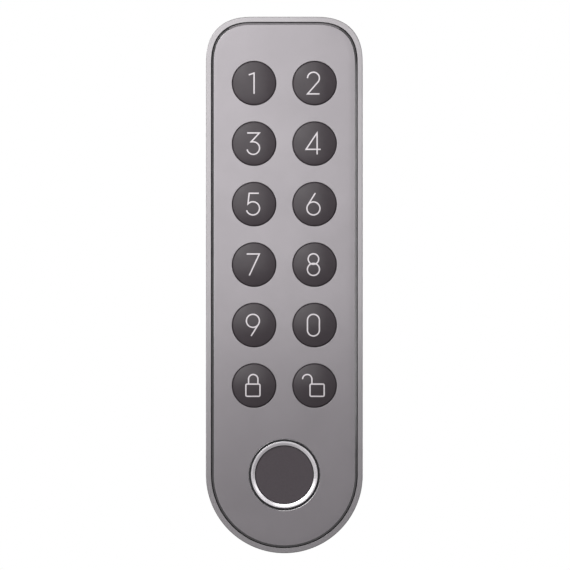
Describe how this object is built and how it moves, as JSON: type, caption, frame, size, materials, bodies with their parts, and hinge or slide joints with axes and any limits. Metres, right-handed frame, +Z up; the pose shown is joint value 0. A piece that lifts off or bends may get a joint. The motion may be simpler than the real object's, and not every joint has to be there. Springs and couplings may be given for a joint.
{
  "type": "keypad smart lock",
  "caption": "Slim wall keypad for a smart lock: two columns of round push keys over a round fingerprint reader, in a long case with a round lower end.",
  "frame": {"origin": "on the wall bracket's rear face, which lies on the wall, midway between the keypad's sides and midway between its top and bottom", "axes": "+Z up along the keypad, +X to the right seen from the front, +Y into the wall; the keys face -Y"},
  "size_m": [0.04, 0.023, 0.1368],
  "materials": {
    "bezel_silver": "satin bead-blasted, warm silver",
    "front_plate_grey": "satin anodised, warm grey",
    "rear_housing_black": "fine spark-eroded texture",
    "bracket_black": "fine texture, moulded",
    "adhesive_foam": "closed-cell foam with a paper face",
    "keycap_charcoal": "satin charcoal with pale marks",
    "silicone_white": "matt translucent silicone",
    "seal_rubber": "matt black rubber",
    "sensor_chrome": "polished",
    "sensor_glass": "matt dark coating, opaque",
    "circuit_board_green": "solder mask",
    "chip_black": "moulded epoxy",
    "shield_can": "tinned steel can",
    "flex_amber": "polyimide film",
    "battery_jacket": "printed jacket on a steel can",
    "contact_nickel": "nickel plated",
    "screw_steel": "zinc plated",
    "insert_brass": "turned brass"
  },
  "bodies": {
    "bracket": {"wall_bracket": "bracket_black", "adhesive_pad_upper": "adhesive_foam", "adhesive_pad_lower": "adhesive_foam"},
    "keypad": {"battery_1": "battery_jacket", "battery_2": "battery_jacket", "battery_3": "battery_jacket", "bezel_frame": "bezel_silver", "buzzer": "chip_black", "circuit_board": "circuit_board_green", "contact_bottom_double": "contact_nickel", "contact_bottom_single": "contact_nickel", "contact_top_double": "contact_nickel", "contact_top_single": "contact_nickel", "controller_chip": "chip_black", "door_seal": "seal_rubber", "front_plate": "front_plate_grey", "housing_screw_1": "screw_steel", "housing_screw_2": "screw_steel", "housing_screw_3": "screw_steel", "housing_screw_4": "screw_steel", "housing_seal": "seal_rubber", "key_mat": "silicone_white", "plate_seal": "seal_rubber", "radio_module": "shield_can", "rear_housing": "rear_housing_black", "screw_insert": "insert_brass", "sensor_board": "circuit_board_green", "sensor_flex": "flex_amber", "sensor_glass": "sensor_glass", "sensor_module": "chip_black", "sensor_ring": "sensor_chrome"},
    "door": {"battery_door": "rear_housing_black"},
    "security_screw": {"security_screw": "screw_steel"},
    "key_1": {"keycap_1": "keycap_charcoal", "rubber_key_1": "silicone_white"},
    "key_2": {"keycap_2": "keycap_charcoal", "rubber_key_2": "silicone_white"},
    "key_3": {"keycap_3": "keycap_charcoal", "rubber_key_3": "silicone_white"},
    "key_4": {"keycap_4": "keycap_charcoal", "rubber_key_4": "silicone_white"},
    "key_5": {"keycap_5": "keycap_charcoal", "rubber_key_5": "silicone_white"},
    "key_6": {"keycap_6": "keycap_charcoal", "rubber_key_6": "silicone_white"},
    "key_7": {"keycap_7": "keycap_charcoal", "rubber_key_7": "silicone_white"},
    "key_8": {"keycap_8": "keycap_charcoal", "rubber_key_8": "silicone_white"},
    "key_9": {"keycap_9": "keycap_charcoal", "rubber_key_9": "silicone_white"},
    "key_0": {"keycap_0": "keycap_charcoal", "rubber_key_0": "silicone_white"},
    "key_lock": {"keycap_lock": "keycap_charcoal", "rubber_key_lock": "silicone_white"},
    "key_unlock": {"keycap_unlock": "keycap_charcoal", "rubber_key_unlock": "silicone_white"}
  },
  "joints": [
    {"name": "keypad_lift", "type": "slide", "parent": "bracket", "child": "keypad", "axis": [0, 0, 1], "range_m": [0, 0.007]},
    {"name": "security_screw_out", "type": "slide", "parent": "bracket", "child": "security_screw", "axis": [0, 0, -1], "range_m": [0, 0.008]},
    {"name": "battery_door_slide", "type": "slide", "parent": "keypad", "child": "door", "axis": [0, 0, 1], "range_m": [0, 0.005]},
    {"name": "key_1_press", "type": "slide", "parent": "keypad", "child": "key_1", "axis": [0, 1, 0], "range_m": [0, 0.0006], "stiffness_N_per_m": 1500},
    {"name": "key_2_press", "type": "slide", "parent": "keypad", "child": "key_2", "axis": [0, 1, 0], "range_m": [0, 0.0006], "stiffness_N_per_m": 1500},
    {"name": "key_3_press", "type": "slide", "parent": "keypad", "child": "key_3", "axis": [0, 1, 0], "range_m": [0, 0.0006], "stiffness_N_per_m": 1500},
    {"name": "key_4_press", "type": "slide", "parent": "keypad", "child": "key_4", "axis": [0, 1, 0], "range_m": [0, 0.0006], "stiffness_N_per_m": 1500},
    {"name": "key_5_press", "type": "slide", "parent": "keypad", "child": "key_5", "axis": [0, 1, 0], "range_m": [0, 0.0006], "stiffness_N_per_m": 1500},
    {"name": "key_6_press", "type": "slide", "parent": "keypad", "child": "key_6", "axis": [0, 1, 0], "range_m": [0, 0.0006], "stiffness_N_per_m": 1500},
    {"name": "key_7_press", "type": "slide", "parent": "keypad", "child": "key_7", "axis": [0, 1, 0], "range_m": [0, 0.0006], "stiffness_N_per_m": 1500},
    {"name": "key_8_press", "type": "slide", "parent": "keypad", "child": "key_8", "axis": [0, 1, 0], "range_m": [0, 0.0006], "stiffness_N_per_m": 1500},
    {"name": "key_9_press", "type": "slide", "parent": "keypad", "child": "key_9", "axis": [0, 1, 0], "range_m": [0, 0.0006], "stiffness_N_per_m": 1500},
    {"name": "key_0_press", "type": "slide", "parent": "keypad", "child": "key_0", "axis": [0, 1, 0], "range_m": [0, 0.0006], "stiffness_N_per_m": 1500},
    {"name": "key_lock_press", "type": "slide", "parent": "keypad", "child": "key_lock", "axis": [0, 1, 0], "range_m": [0, 0.0006], "stiffness_N_per_m": 1500},
    {"name": "key_unlock_press", "type": "slide", "parent": "keypad", "child": "key_unlock", "axis": [0, 1, 0], "range_m": [0, 0.0006], "stiffness_N_per_m": 1500}
  ]
}
